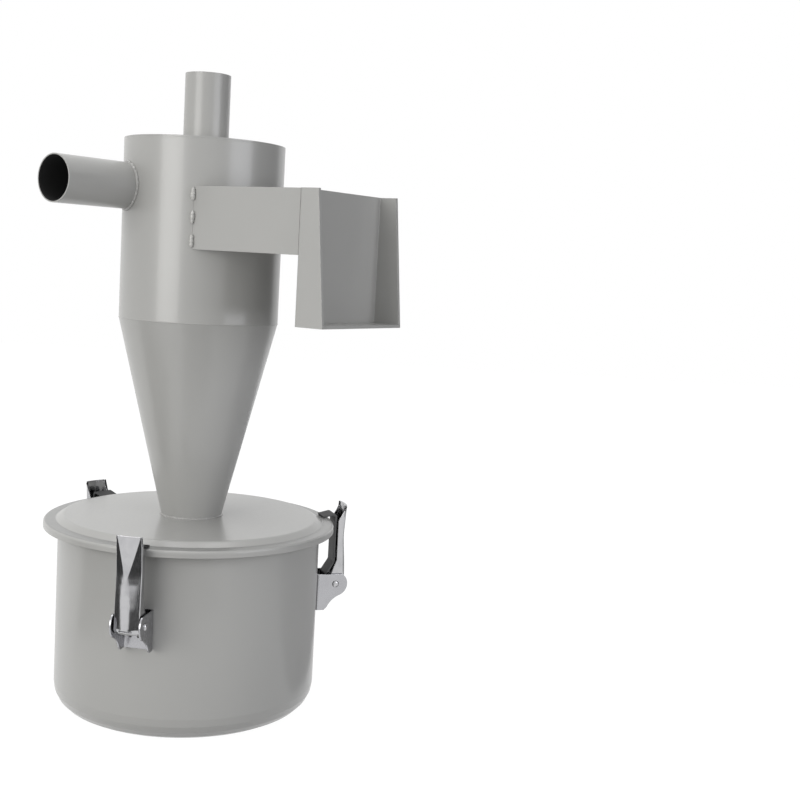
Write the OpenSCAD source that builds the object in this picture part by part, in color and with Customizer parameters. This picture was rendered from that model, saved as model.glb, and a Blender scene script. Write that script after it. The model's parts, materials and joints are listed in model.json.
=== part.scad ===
// Cyclone separator: a barrel and cone welded on a pressed lid, which three
// toggle latches hold on a drawn steel bin. Millimetres, Z up, with the origin
// on the floor at the axis that the bin, the cone and the barrel share.

/* [Bin] */
// Outside radius of the bin wall
bin_r = 132.5; // [115:0.5:150]
// Height of the bin, from the floor to the top of its flange
bin_h = 187; // [165:1:240]
// Sheet thickness of the bin
bin_t = 1.5; // [1:0.1:2.5]
// Outside radius of the bend between the bottom and the wall
bin_bend_r = 25; // [10:1:35]
// Width of the flange turned outward at the mouth of the bin
flange_w = 12; // [9:0.5:16]

/* [Lid] */
// Sheet thickness of the lid
lid_t = 1.5; // [1:0.1:2.5]
// Height of the turned-down skirt
skirt_h = 7; // [5:0.5:12]
// Clearance between the bin flange and the inside of the skirt
skirt_gap = 1; // [0.5:0.1:2]
// Height of the raised middle of the lid above its rim
plateau_h = 5; // [3:0.1:8]
// Width of the flat rim around the raised middle
rim_w = 12; // [9:0.5:15]
// Width of the rim's inner edge that is pressed in one with the raised middle
rim_lap = 1.6; // [1.4:0.1:3]
// Thickness of the rubber seal
seal_t = 2.5; // [1.5:0.1:4]

/* [Cone and barrel] */
// Outside radius of the foot of the cone
foot_r = 30.5; // [26:0.5:45]
// Height of the cone
cone_h = 199.5; // [150:0.5:260]
// Outside radius of the barrel
barrel_r = 79.5; // [68:0.5:95]
// Height of the barrel with its top plate
barrel_h = 176.5; // [165:0.5:220]
// Wall thickness of the cone and the barrel
shell_t = 2; // [1.5:0.1:3]
// Thickness of the top plate
top_t = 2; // [1.5:0.1:4]

/* [Pipes] */
// Outside radius of the outlet pipe
outlet_r = 22.5; // [16:0.5:27]
// Height of the outlet pipe above the top plate
outlet_h = 67; // [40:0.5:110]
// Length of the outlet pipe inside the barrel
finder_len = 96; // [76:1:120]
// Outside radius of the inlet pipe
inlet_r = 22.5; // [16:0.5:24]
// Wall thickness of both pipes
pipe_t = 1.5; // [1.2:0.1:3]
// Length of the inlet pipe, from its mouth to beside the barrel axis
inlet_len = 160.5; // [130:0.5:200]
// Depth of the inlet axis below the top of the barrel
inlet_drop = 48; // [38:0.5:60]
// Direction in which the inlet points away from the barrel
inlet_az = 234.1; // [215:0.1:245]
// Distance from the outer side of the inlet pipe to the line that touches the barrel's inner wall
inlet_clear = 23; // [18:0.5:28]

/* [Hanger] */
// Direction from the axis to the foot of the arm
arm_az = -87.5; // [-95:0.5:-80]
// Direction in which the arm runs out to the channel
arm_yaw = -32.5; // [-45:0.5:-25]
// Length of the arm
arm_len = 127.5; // [110:0.5:150]
// Height of the arm
arm_h = 59.5; // [45:0.5:75]
// Thickness of the arm
arm_t = 3; // [2:0.1:5]
// Depth of the top of the arm and channel below the top of the barrel
hanger_drop = 46.5; // [40:0.5:60]
// Height of the channel
channel_h = 123.5; // [100:0.5:150]
// Width of the channel's web
channel_w = 127; // [90:0.5:150]
// Depth of the channel's flanges at the top
channel_top_d = 21; // [15:0.5:28]
// Depth of the channel's flanges at the bottom
channel_foot_d = 32; // [30:0.5:45]
// Sheet thickness of the channel and its floor
channel_t = 3; // [2:0.1:4]
// Outside bend radius of the channel
channel_bend_r = 3.5; // [3.2:0.1:6]

/* [Latches] */
// Direction of the first latch
latch_az = 19.8; // [0:0.1:40]
// Number of latches
latch_count = 3; // [3:1:3]
// Distance of the lever pivot from the bin wall
pivot_out = 22; // [21:0.1:24]
// Depth of the lever pivot below the top of the lid rim
pivot_drop = 70.5; // [66:0.5:84]
// Distance between the lever pivot and the hook pivot
link_r = 11; // [10:0.1:12]
// Width of the base over its ears
base_w = 30; // [29:0.5:36]
// Sheet thickness of the base
base_t = 1.5; // [1:0.1:1.8]
// Outside radius of the bends between the back plate and the ears
base_bend_r = 4.5; // [3:0.1:6]
// Height of the base below the pivot
base_down = 28; // [26:0.5:34]
// Height of the base above the pivot
base_up = 10.5; // [9:0.1:11.5]
// Radius of the ears around the pivot
ear_r = 13; // [12:0.1:14]
// Radius of the hollow between the round nose and the foot of the ears
ear_hollow_r = 26; // [20:0.5:30]
// Radius of the small holes in the back plate
base_hole_r = 1.3; // [1:0.1:1.8]
// Width of the lever
lever_w = 25; // [24.5:0.1:25.8]
// Sheet thickness of the lever
lever_t = 1.2; // [0.8:0.1:1.5]
// Length of the lever above its pivot
lever_len = 85; // [80:0.5:100]
// Depth of the lever's cheeks behind its face
cheek_d = 9.5; // [8:0.1:10.5]
// Length of the pressed creases that meet in a V below the lever's end
crease_len = 45; // [30:1:55]
// Width of the hook
hook_w = 20; // [16:0.5:21]
// Sheet thickness of the hook
hook_t = 2; // [1.5:0.1:2.5]
// Clearance between the hook and the lid skirt
hook_gap = 5; // [4.5:0.1:6]
// Clearance between the claw and the lid rim that it lies on
claw_gap = 0.1; // [0.1:0.1:0.3]
// Length of the claw that lies on the lid rim
claw_in = 8.5; // [7:0.1:9]
// Radius of the lever pin
lever_pin_r = 2.5; // [2:0.1:3]
// Height of the pin's heads
pin_head_t = 2; // [1:0.1:2.5]
// Radius of the hook pin
hook_pin_r = 2; // [1.5:0.1:2]
// Radial clearance of a turning bore round its pin
pin_play = 0.05; // [0.03:0.01:0.08]

/* [Welds] */
// Leg of the weld round the foot of the cone
foot_weld = 2.2; // [1.5:0.1:5]
// Leg of the weld round the outlet pipe
outlet_weld = 2; // [1.5:0.1:4]
// Leg of the weld round the inlet pipe
inlet_weld = 3; // [2:0.1:4]
// Radius of the stitches on the arm
stitch_r = 3; // [2:0.1:4]
// Length of each stitch
stitch_len = 13; // [8:0.5:14]

/* [Hidden] */
$fn = 96;
bend_steps = 5;
cut = 0.5;

// Heights, from the floor up
rim_z = bin_h + seal_t + lid_t;
plateau_z = rim_z + plateau_h;
barrel_z = plateau_z + cone_h;
top_z = barrel_z + barrel_h;
inlet_z = top_z - inlet_drop;
hanger_z = top_z - hanger_drop;
pivot_z = rim_z - pivot_drop;

// Radii and offsets that follow from the sizes above
flange_r = bin_r + flange_w;
lid_r = flange_r + skirt_gap + lid_t;
inlet_off = barrel_r - shell_t - inlet_clear - inlet_r;
latch_step = 360 / latch_count;

// Foot of the arm on the barrel
arm_foot = barrel_r * [cos(arm_az), sin(arm_az)];

// Point at distance r and angle a from the point c
function polar(c, r, a) = c + r * [cos(a), sin(a)];

function unit(v) = v / norm(v);
function left_of(v) = [-v[1], v[0]];
function cross2(a, b) = a[0] * b[1] - a[1] * b[0];

// A corner of a path, as the points of an arc of radius r that touches both its sides
function bend(a, b, c, r) =
    let (u = unit(a - b), v = unit(c - b),
         half = acos(u * v) / 2,
         mid = b + unit(u + v) * r / sin(half),
         side = cross2(u, v) > 0 ? 1 : -1,
         sweep = 180 - 2 * half,
         start = atan2((left_of(u) * side)[1], (left_of(u) * side)[0]) + 180)
    r == 0 ? [b] : [for (i = [0 : bend_steps]) polar(mid, r, start - side * sweep * i / bend_steps)];

// A path with each inner corner rounded by its own radius
function rounded(path, radii) =
    let (last = len(path) - 1)
    [path[0], for (i = [1 : last - 1]) each bend(path[i - 1], path[i], path[i + 1], radii[i - 1]), path[last]];

// The path moved sideways by d, to its left
function shifted(path, d) =
    let (last = len(path) - 1)
    [for (i = [0 : last])
        let (before = unit(path[max(i, 1)] - path[max(i, 1) - 1]),
             after = unit(path[min(i, last - 1) + 1] - path[min(i, last - 1)]),
             along = unit(before + after))
        path[i] + left_of(along) * d / (along * before)];

// Sheet of thickness t whose middle follows the path
module sheet(path, t) {
    outer = shifted(path, t / 2);
    inner = shifted(path, -t / 2);
    polygon(concat(outer, [for (i = [len(inner) - 1 : -1 : 0]) inner[i]]));
}

// Ring of round bead section in a corner, its legs along the floor and a wall that leans by lean
module corner_bead(r, z, leg, lean) {
    top = [leg * tan(lean), leg];
    bulge = [for (i = [1 : 3]) [leg, 0] + (top - [leg, 0]) * i / 4 + unit([1, 1]) * leg * 0.12 * sin(45 * i)];
    translate([0, 0, z])
        rotate_extrude()
            translate([r, 0])
                polygon(concat([[0, 0], [leg, 0]], bulge, [top]));
}

// Bin: one drawn pot with a rounded bottom edge
module bin() {
    middle = bin_t / 2;
    color([0.70, 0.70, 0.68])
        rotate_extrude()
            sheet(rounded([[0, middle], [bin_r - middle, middle], [bin_r - middle, bin_h]],
                          [bin_bend_r - middle]), bin_t);
}

// Flange of the bin: a flat ring welded round its mouth
module bin_flange() {
    color([0.70, 0.70, 0.68])
        translate([0, 0, bin_h - bin_t])
            difference() {
                cylinder(r = flange_r, h = bin_t);
                translate([0, 0, -cut])
                    cylinder(r = bin_r, h = bin_t + 2 * cut);
            }
}

// Seal: a flat rubber ring between the bin flange and the lid
module seal() {
    color([0.10, 0.10, 0.10])
        translate([0, 0, bin_h])
            difference() {
                cylinder(r = flange_r - 1.5, h = seal_t);
                translate([0, 0, -cut])
                    cylinder(r = bin_r + bin_t + 1, h = seal_t + 2 * cut);
            }
}

// Lid: a pressed disc with a raised middle and the hole under the cone
module lid() {
    middle = lid_t / 2;
    shoulder = plateau_h * 1.5;
    rim_from = lid_r - rim_w;
    path = [
        [foot_r - shell_t, plateau_z - middle], [rim_from - shoulder, plateau_z - middle],
        [rim_from, rim_z - middle], [rim_from + rim_lap, rim_z - middle]
    ];
    color([0.72, 0.72, 0.70])
        rotate_extrude()
            sheet(rounded(path, [plateau_h, plateau_h * 0.7]), lid_t);
}

// Rim of the lid: a flat ring with a turned-down skirt, welded round the pressed disc
module lid_rim() {
    middle = lid_t / 2;
    path = [
        [lid_r - rim_w + rim_lap, rim_z - middle], [lid_r - middle, rim_z - middle],
        [lid_r - middle, rim_z - skirt_h]
    ];
    color([0.72, 0.72, 0.70])
        rotate_extrude()
            sheet(rounded(path, [lid_t + 0.5]), lid_t);
}

// Cone: rolled sheet that stands on the lid and carries the barrel
module cone() {
    color([0.70, 0.70, 0.68])
        translate([0, 0, plateau_z])
            rotate_extrude()
                polygon([[foot_r - shell_t, 0], [foot_r, 0], [barrel_r, cone_h], [barrel_r - shell_t, cone_h]]);
}

// A cylinder along the inlet axis, from beside the barrel axis to its mouth
module along_inlet(r, from, to) {
    rotate([0, 0, inlet_az])
        translate([from, -inlet_off, inlet_z])
            rotate([0, 90, 0])
                cylinder(r = r, h = to - from);
}

// Barrel: a tube with the opening that the inlet pipe passes through
module barrel() {
    color([0.70, 0.70, 0.68])
        difference() {
            translate([0, 0, barrel_z])
                cylinder(r = barrel_r, h = barrel_h - top_t);
            translate([0, 0, barrel_z - cut])
                cylinder(r = barrel_r - shell_t, h = barrel_h);
            along_inlet(inlet_r, 0, inlet_len);
        }
}

// Top plate: a disc flush with the barrel, with the hole for the outlet pipe
module top_plate() {
    color([0.72, 0.72, 0.70])
        translate([0, 0, top_z - top_t])
            difference() {
                cylinder(r = barrel_r, h = top_t);
                translate([0, 0, -cut])
                    cylinder(r = outlet_r, h = top_t + 2 * cut);
            }
}

// Outlet pipe: passes through the top plate and ends inside the barrel below the inlet
module outlet_pipe() {
    length = finder_len + outlet_h;
    color([0.72, 0.72, 0.70])
        translate([0, 0, top_z - finder_len])
            difference() {
                cylinder(r = outlet_r, h = length);
                translate([0, 0, -cut])
                    cylinder(r = outlet_r - pipe_t, h = length + 2 * cut);
            }
}

// Inlet pipe: meets the barrel along its side and is trimmed at the barrel's inner wall
module inlet_pipe() {
    color([0.72, 0.72, 0.70])
        difference() {
            along_inlet(inlet_r, 0, inlet_len);
            along_inlet(inlet_r - pipe_t, -cut, inlet_len + cut);
            translate([0, 0, barrel_z])
                cylinder(r = barrel_r - shell_t, h = barrel_h);
        }
}

// Weld round the foot of the cone
module foot_bead() {
    color([0.74, 0.74, 0.72])
        corner_bead(foot_r, plateau_z, foot_weld, atan((barrel_r - foot_r) / cone_h));
}

// Low weld round the seam between the cone and the barrel
module girth_bead() {
    half = 1.6;
    rise = 0.5;
    slope = (barrel_r - foot_r) / cone_h;
    color([0.72, 0.72, 0.70])
        translate([0, 0, barrel_z])
            rotate_extrude()
                polygon([
                    [barrel_r - half * slope, -half], [barrel_r + rise * 0.7, -half * 0.6],
                    [barrel_r + rise, 0], [barrel_r + rise * 0.7, half * 0.6], [barrel_r, half], [barrel_r, 0]
                ]);
}

// Weld round the outlet pipe on the top plate
module outlet_bead() {
    color([0.74, 0.74, 0.72])
        corner_bead(outlet_r, top_z, outlet_weld, 0);
}

// Weld along the saddle where the inlet pipe meets the barrel
module inlet_bead() {
    color([0.74, 0.74, 0.72])
        difference() {
            intersection() {
                along_inlet(inlet_r + inlet_weld, inlet_off / 2, inlet_len);
                translate([0, 0, barrel_z])
                    cylinder(r = barrel_r + inlet_weld * 0.7, h = barrel_h);
            }
            along_inlet(inlet_r, 0, inlet_len);
            translate([0, 0, barrel_z - cut])
                cylinder(r = barrel_r, h = barrel_h);
        }
}

// Puts a piece in the hanger's own frame: X along the arm from its foot, Y across it, Z from its top
module at_hanger() {
    translate([arm_foot[0], arm_foot[1], hanger_z])
        rotate([0, 0, arm_yaw])
            children();
}

// Takes away what lies inside the barrel
module clear_of_barrel() {
    difference() {
        children();
        translate([0, 0, barrel_z])
            cylinder(r = barrel_r, h = barrel_h - top_t);
    }
}

// Arm: a flat plate on edge, its end fitted to the barrel
module hanger_arm() {
    color([0.66, 0.66, 0.64])
        clear_of_barrel()
            at_hanger()
                translate([-arm_t * 2, 0, -arm_h])
                    cube([arm_len + arm_t * 2, arm_t, arm_h]);
}

// Channel: bent sheet with its web square to the arm and flanges that deepen toward the bottom
module hanger_channel() {
    middle = channel_t / 2;
    depth = channel_foot_d;
    near = channel_t / 2 - channel_bend_r;
    far = near + channel_w - channel_t;
    path = [[depth, near], [middle, near], [middle, far], [depth, far]];
    turn = channel_bend_r - middle;
    color([0.66, 0.66, 0.64])
        at_hanger()
            translate([arm_len, 0, -channel_h])
                difference() {
                    linear_extrude(channel_h)
                        sheet(rounded(path, [turn, turn]), channel_t);
                    translate([0, channel_w, 0])
                        rotate([90, 0, 0])
                            linear_extrude(2 * channel_w)
                                polygon([
                                    [channel_foot_d, 0], [channel_top_d, channel_h],
                                    [channel_top_d, channel_h + 1], [channel_foot_d + 1, channel_h + 1],
                                    [channel_foot_d + 1, 0]
                                ]);
                }
}

// Floor of the channel, between its flanges and flush with their lower edges
module hanger_floor() {
    wide = channel_w - 2 * channel_t;
    slope = (channel_foot_d - channel_top_d) / channel_h;
    deep = channel_foot_d - channel_t - slope * channel_t;
    inner = channel_bend_r - channel_t;
    color([0.68, 0.68, 0.66])
        at_hanger()
            translate([arm_len + channel_t, channel_t - channel_bend_r, -channel_h])
                linear_extrude(channel_t)
                    polygon([
                        [0, inner], [inner, 0], [deep, 0],
                        [deep, wide], [inner, wide], [0, wide - inner]
                    ]);
}

// One short weld along a vertical corner, thinner at both ends
module stitch(r, length) {
    translate([0, 0, -length + r])
        cylinder(r = r, h = length - 2 * r);
    translate([0, 0, -r])
        cylinder(r1 = r, r2 = r / 2, h = r);
    translate([0, 0, -length])
        cylinder(r1 = r / 2, r2 = r, h = r);
}

// Three stitches between the arm and the barrel
module arm_stitches() {
    pitch = (arm_h - stitch_len) / 2;
    color([0.78, 0.78, 0.76])
        difference() {
            clear_of_barrel()
                at_hanger()
                    for (i = [0 : 2])
                        translate([0, 0, -pitch * i])
                            stitch(stitch_r, stitch_len);
            at_hanger()
                translate([-arm_t * 2, 0, -arm_h - cut])
                    cube([arm_len, arm_t * 2, arm_h + 2 * cut]);
        }
}

// Two stitches behind the channel's web, in the corner with the arm
module channel_stitches() {
    color([0.70, 0.70, 0.68])
        at_hanger()
            difference() {
                for (z = [0, stitch_len - arm_h])
                    translate([arm_len, arm_t, z])
                        stitch(stitch_r, stitch_len);
                translate([arm_len, -arm_h, -arm_h - cut])
                    cube([arm_h, 2 * arm_h, arm_h + 2 * cut]);
                translate([0, -arm_h, -arm_h - cut])
                    cube([arm_len + cut, arm_h + arm_t, arm_h + 2 * cut]);
            }
}

// Puts a piece at latch number i: X outward from the lever pivot, Y along the wall, Z up
module at_latch(i) {
    rotate([0, 0, latch_az + latch_step * i])
        translate([bin_r + pivot_out, 0, pivot_z])
            children();
}

// Stands a profile drawn in X and Z upright, w wide across the latch
module across(w) {
    translate([0, w / 2, 0])
        rotate([90, 0, 0])
            linear_extrude(w)
                children();
}

// A pin or bore across the latch, w wide, at x outward from the lever pivot
module cross_pin(x, r, w) {
    translate([x, w / 2, 0])
        rotate([90, 0, 0])
            cylinder(r = r, h = w);
}

// Side view of the ears as a block: a round nose at the pivot, a hollow and a rounded foot
module ear_block() {
    wall = -pivot_out - 2;
    hollow = polar([0, 0], ear_r + ear_hollow_r, -68);
    toe_r = 3;
    toe_x = hollow[0] - sqrt(pow(ear_hollow_r, 2) - pow(base_down - toe_r + hollow[1], 2));
    difference() {
        union() {
            cross_pin(0, ear_r, base_w + 1);
            across(base_w + 1)
                polygon([[wall, base_up], [0, base_up], [0, 0], hollow, [toe_x, toe_r - base_down],
                         [toe_x - toe_r, -base_down], [wall, -base_down]]);
        }
        translate([0, 0, hollow[1]])
            cross_pin(hollow[0], ear_hollow_r, base_w + 2);
        translate([wall, -base_w, base_up])
            cube([2 * pivot_out + ear_r, 2 * base_w, ear_r]);
    }
}

// A cylinder round the bin axis, seen from the latch, from below the base to above it
module round_the_bin(r) {
    translate([-bin_r - pivot_out, 0, -base_down - cut])
        cylinder(r = r, h = base_down + base_up + 2 * cut);
}

// Base: a back plate on the bin wall, bent at both sides into the ears that hold the lever pin
module latch_base(i) {
    side = (base_w - base_t) / 2;
    flat_w = base_w / 2 - base_bend_r;
    seat = bin_r - sqrt(pow(bin_r, 2) - pow(flat_w, 2));
    back = -pivot_out - seat + base_t / 2;
    turn = base_bend_r - base_t / 2;
    color([0.80, 0.80, 0.82])
        at_latch(i)
            difference() {
                intersection() {
                    ear_block();
                    translate([0, 0, -base_down])
                        linear_extrude(base_down + base_up)
                            sheet(rounded([[ear_r + 1, -side], [back, -side], [back, side], [ear_r + 1, side]],
                                          [turn, turn]), base_t);
                }
                round_the_bin(bin_r);
                cross_pin(0, lever_pin_r, base_w + 1);
                for (j = [-1 : 1])
                    translate([-pivot_out - 2, j * flat_w * 0.75, -base_down * 0.6])
                        rotate([0, 90, 0])
                            cylinder(r = base_hole_r, h = 4);
            }
}

// Lever pin: a rivet with a head outside each ear
module latch_pin(i) {
    color([0.75, 0.75, 0.77])
        at_latch(i) {
            cross_pin(0, lever_pin_r, base_w);
            for (side = [-1, 1])
                translate([0, side * (base_w + pin_head_t) / 2, 0])
                    cross_pin(0, lever_pin_r * 1.5, pin_head_t);
        }
}

// Middle of the lever's web seen from the side, from its lower lip to its flared end
function lever_path() =
    rounded(
        [[ear_r - 4.5, -6.5], [ear_r - 0.5, -3], [ear_r - 3.2, lever_len * 0.6], [ear_r - 0.6, lever_len]],
        [2.5, 90]
    );

// Side view of the lever's cheeks: they hold both pivots and get narrow toward the end
module cheek_outline() {
    back = ear_r - 2.6 - cheek_d;
    boss_r = hook_pin_r * 2.2;
    polygon(concat(
        lever_path(),
        [[ear_r - 3.5, lever_len * 0.97], [back, lever_len * 0.8], [back, lever_len * 0.3],
         [back - 5, ear_r * 0.9], [boss_r * 0.6 - link_r, boss_r * 0.8], [-link_r, 0], [-link_r, -boss_r],
         [0, -ear_r * 0.65]]
    ));
    translate([-link_r, 0])
        circle(r = boss_r);
    circle(r = ear_r * 0.65);
}

// The two grooves that run from the corners of the lever's end down to where they meet
module lever_creases() {
    wide = 1.2;
    deep = lever_t * 0.3;
    intersection() {
        across(lever_w + 1)
            sheet(shifted(lever_path(), -lever_t / 2), 2 * deep);
        for (side = [-1, 1])
            translate([0, -side * wide * 0.25, lever_len - crease_len])
                rotate([-side * atan(lever_w / 2 / crease_len), 0, 0])
                    translate([0, -wide / 2, 0])
                        cube([2 * ear_r, wide, crease_len * 1.5]);
    }
}

// Lever: a pressed channel that turns between the ears and carries the hook
module latch_lever(i) {
    inner_w = lever_w - 2 * lever_t;
    color([0.82, 0.82, 0.84])
        at_latch(i)
            difference() {
                union() {
                    across(lever_w)
                        sheet(lever_path(), lever_t);
                    difference() {
                        across(lever_w)
                            cheek_outline();
                        across(inner_w)
                            translate([-4 * ear_r, -4 * ear_r])
                                square([8 * ear_r, 2 * lever_len]);
                    }
                }
                lever_creases();
                cross_pin(0, lever_pin_r + pin_play, lever_w + 1);
                cross_pin(-link_r, hook_pin_r, lever_w + 1);
            }
}

// Hook pin: held in the lever's cheeks, the hook turns on it
module latch_hook_pin(i) {
    color([0.75, 0.75, 0.77])
        at_latch(i)
            cross_pin(-link_r, hook_pin_r, lever_w);
}

// Hook: a bent strip with a rolled eye below and a claw that lies on the lid rim
module latch_hook(i) {
    stem = lid_r + hook_gap + hook_t / 2 - bin_r - pivot_out;
    tip = lid_r - claw_in - bin_r - pivot_out;
    seat = pivot_drop + claw_gap;
    claw_rise = 3.5;
    path = [
        [-link_r, 0], [-link_r + 1.5, 10], [stem, pivot_drop * 0.32],
        [stem, seat + hook_t / 2 + claw_rise], [tip, seat + hook_t / 2]
    ];
    color([0.78, 0.78, 0.80])
        at_latch(i)
            difference() {
                union() {
                    across(hook_w)
                        difference() {
                            sheet(rounded(path, [8, 6, 3]), hook_t);
                            translate([tip - hook_t, seat - 2 * hook_t])
                                square([claw_in, 2 * hook_t]);
                        }
                    cross_pin(-link_r, hook_pin_r + pin_play + 1.5, hook_w);
                }
                cross_pin(-link_r, hook_pin_r + pin_play, hook_w + 1);
            }
}

bin();
bin_flange();
seal();
lid();
lid_rim();
cone();
barrel();
top_plate();
outlet_pipe();
inlet_pipe();
foot_bead();
girth_bead();
outlet_bead();
inlet_bead();
hanger_arm();
hanger_channel();
hanger_floor();
arm_stitches();
channel_stitches();
latch_base(0);  // latch_a_base
latch_pin(0);  // latch_a_pin
latch_lever(0);  // latch_a_lever
latch_hook_pin(0);  // latch_a_hook_pin
latch_hook(0);  // latch_a_hook
latch_base(1);  // latch_b_base
latch_pin(1);  // latch_b_pin
latch_lever(1);  // latch_b_lever
latch_hook_pin(1);  // latch_b_hook_pin
latch_hook(1);  // latch_b_hook
latch_base(2);  // latch_c_base
latch_pin(2);  // latch_c_pin
latch_lever(2);  // latch_c_lever
latch_hook_pin(2);  // latch_c_hook_pin
latch_hook(2);  // latch_c_hook
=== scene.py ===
import json
import math

import bmesh
import bpy
from mathutils import Matrix, Vector


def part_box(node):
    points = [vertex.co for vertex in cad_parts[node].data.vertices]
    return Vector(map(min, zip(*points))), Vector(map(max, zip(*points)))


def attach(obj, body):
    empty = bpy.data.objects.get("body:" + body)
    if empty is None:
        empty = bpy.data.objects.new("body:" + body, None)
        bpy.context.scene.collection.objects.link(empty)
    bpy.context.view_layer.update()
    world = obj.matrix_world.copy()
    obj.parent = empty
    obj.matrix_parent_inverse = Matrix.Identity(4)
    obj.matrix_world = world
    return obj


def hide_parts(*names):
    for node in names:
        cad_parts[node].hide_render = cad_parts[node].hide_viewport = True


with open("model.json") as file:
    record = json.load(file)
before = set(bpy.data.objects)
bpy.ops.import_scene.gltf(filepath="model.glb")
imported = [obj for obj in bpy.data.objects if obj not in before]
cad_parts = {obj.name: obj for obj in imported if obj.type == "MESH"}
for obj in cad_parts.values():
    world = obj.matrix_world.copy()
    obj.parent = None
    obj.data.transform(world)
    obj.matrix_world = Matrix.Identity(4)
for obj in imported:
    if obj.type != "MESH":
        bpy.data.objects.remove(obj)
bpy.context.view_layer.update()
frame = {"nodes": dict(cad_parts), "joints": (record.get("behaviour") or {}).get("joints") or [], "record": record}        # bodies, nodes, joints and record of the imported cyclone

nodes = frame["nodes"]
mounts = {mount["name"]: mount for mount in frame["record"]["mounts"]}
print("frame loaded:", len(nodes), "nodes")


def addObject(name, data):
    item = bpy.data.objects.new(name, data)
    bpy.context.scene.collection.objects.link(item)
    return item


# The mesh that an object's modifiers give; the object itself goes
def freeze(name, source):
    graph = bpy.context.evaluated_depsgraph_get()
    mesh = bpy.data.meshes.new_from_object(source.evaluated_get(graph))
    bpy.data.objects.remove(source)
    mesh.name = name
    return mesh


def feed(tree, socket, value):
    if isinstance(value, bpy.types.NodeSocket):
        tree.links.new(value, socket)
    else:
        socket.default_value = value


# Node trees: one call per node, with (socket, value or link) pairs
def addNode(tree, kind, *inputs, **settings):
    node = tree.nodes.new(kind)
    for name, value in settings.items():
        setattr(node, name, value)
    for socket, value in inputs:
        feed(tree, node.inputs[socket], value)
    return node


def compute(tree, operation, a, b=0.0, clamp=False):
    return addNode(tree, "ShaderNodeMath", (0, a), (1, b), operation=operation, use_clamp=clamp).outputs[0]


def vectorMath(tree, operation, a, b=(0, 0, 0), scale=None):
    node = addNode(tree, "ShaderNodeVectorMath", (0, a), (1, b), operation=operation)
    if scale is not None:
        feed(tree, node.inputs["Scale"], scale)
    return node.outputs["Value"] if operation in ("LENGTH", "DOT_PRODUCT") else node.outputs["Vector"]


def mapRange(tree, value, fromLow, fromHigh, toLow, toHigh):
    return addNode(tree, "ShaderNodeMapRange", (0, value), (1, fromLow), (2, fromHigh), (3, toLow), (4, toHigh),
                   clamp=True).outputs[0]


def noise(tree, vector, scale, detail, roughness, seed):
    return addNode(tree, "ShaderNodeTexNoise", ("Vector", vector), ("W", seed), ("Scale", scale), ("Detail", detail),
                   ("Roughness", roughness), noise_dimensions="4D").outputs["Fac"]


def blendColour(tree, share, base, over):
    return addNode(tree, "ShaderNodeMix", (0, share), (6, base), (7, over + (1,)), data_type="RGBA").outputs[2]


def blendNumber(tree, share, base, over):
    return addNode(tree, "ShaderNodeMix", (0, share), (2, base), (3, over), data_type="FLOAT").outputs[0]


# A node group with its (name, type, default) inputs and (name, type) outputs
def newTree(name, kind, inputs, outputs):
    tree = bpy.data.node_groups.new(name, kind)
    for label, socketType, value in inputs:
        socket = tree.interface.new_socket(label, in_out="INPUT", socket_type="NodeSocket" + socketType)
        if value is not None:
            socket.default_value = value
    for label, socketType in outputs:
        tree.interface.new_socket(label, in_out="OUTPUT", socket_type="NodeSocket" + socketType)
    start, end = tree.nodes.new("NodeGroupInput"), tree.nodes.new("NodeGroupOutput")
    return tree, start.outputs, end.inputs


# Camera, at the photograph's viewing angle
camera = {"place": (0.20812, -1.27562, 0.46224), "pitch": 0.1067, "roll": 0.0564, "lens": 56.613, "sensor": 36.0,
          "sees": (0.05, 60)}


def makeCamera(spec):
    level, upward = Vector((1, 0, 0)), Vector((0, math.sin(spec["pitch"]), math.cos(spec["pitch"])))
    forward = Vector((0, math.cos(spec["pitch"]), -math.sin(spec["pitch"])))
    right = math.cos(spec["roll"]) * level + math.sin(spec["roll"]) * upward
    up = math.cos(spec["roll"]) * upward - math.sin(spec["roll"]) * level
    turn = Matrix((right, up, -forward)).transposed()
    data = bpy.data.cameras.new("camera")
    data.lens, data.sensor_width = spec["lens"], spec["sensor"]
    data.clip_start, data.clip_end = spec["sees"]
    item = addObject("camera", data)
    item.matrix_world = Matrix.Translation(spec["place"]) @ turn.to_4x4()
    bpy.context.scene.camera = item


makeCamera(camera)
print("camera placed")


# Shader groups for the finishes. Waves, patches, streaks and clouds are (detail, roughness) of their noise, which
# stays mostly inside noiseSpan.
noiseSpan = (0.3, 0.7)
peelSpan = (0.0, 0.7)
peelShape = {"waveScale": 0.55, "patchScale": 0.02, "cellShare": -0.6, "waveShare": 0.9, "smoothness": 0.9,
             "waves": (2.5, 0.55), "patches": (2.0, 0.5)}
edgeShape = {"samples": 6, "startsAt": 0.004}
boreFade = (0.0002, 0.0006)        # how far outside the bore its painted shade fades
gutterFacing = (0.75, 0.97)        # how far up the sheet faces where the painted gutter shade starts and is full
streakShape = {"streakScale": 22.0, "cloudScale": 70.0, "streaks": (3.0, 0.6), "clouds": (3.0, 0.55)}


def makeEdgeGroup():
    tree, start, end = newTree("edgeRound", "ShaderNodeTree",
                               [("Radius", "Float", 0.0008), ("Softness", "Float", 0.25)],
                               [("Mask", "Float"), ("Normal", "Vector")])
    rounded = addNode(tree, "ShaderNodeBevel", ("Radius", start["Radius"]),
                      samples=edgeShape["samples"]).outputs["Normal"]
    flat = addNode(tree, "ShaderNodeNewGeometry").outputs["Normal"]
    bent = compute(tree, "SUBTRACT", 1.0, vectorMath(tree, "DOT_PRODUCT", rounded, flat))
    tree.links.new(mapRange(tree, bent, edgeShape["startsAt"], start["Softness"], 0.0, 1.0), end["Mask"])
    tree.links.new(rounded, end["Normal"])
    return tree


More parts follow.
